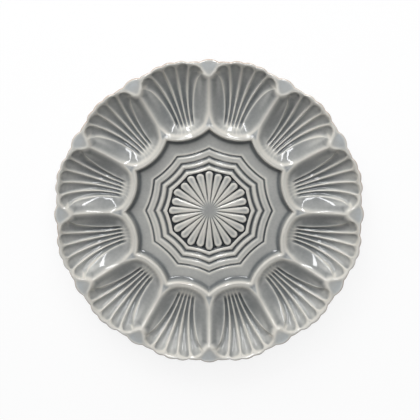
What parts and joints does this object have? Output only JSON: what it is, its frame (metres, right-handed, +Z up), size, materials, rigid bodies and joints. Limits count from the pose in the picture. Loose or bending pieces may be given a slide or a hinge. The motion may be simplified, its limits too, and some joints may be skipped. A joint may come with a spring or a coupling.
{
  "type": "deviled egg platter",
  "caption": "Round glazed earthenware egg platter with fluted shell-shaped wells, a scalloped rim and a sunk star-shaped center with a rosette.",
  "frame": {"origin": "center of the platter at the bottom of its foot ring", "axes": "+Z up out of the dish, +X through the middle of a ridge between two wells"},
  "size_m": [0.279, 0.279, 0.028],
  "materials": {
    "gray_glaze": "glossy translucent gray glaze, thin and cream on edges, dark where it pools",
    "bare_clay": "unglazed fired clay, wiped clean"
  },
  "bodies": {
    "root": {"star_floor": "gray_glaze", "egg_well_01": "gray_glaze", "egg_well_02": "gray_glaze", "egg_well_03": "gray_glaze", "egg_well_04": "gray_glaze", "egg_well_05": "gray_glaze", "egg_well_06": "gray_glaze", "egg_well_07": "gray_glaze", "egg_well_08": "gray_glaze", "egg_well_09": "gray_glaze", "egg_well_10": "gray_glaze", "egg_well_11": "gray_glaze", "egg_well_12": "gray_glaze", "foot_ring": "bare_clay"}
  },
  "joints": []
}
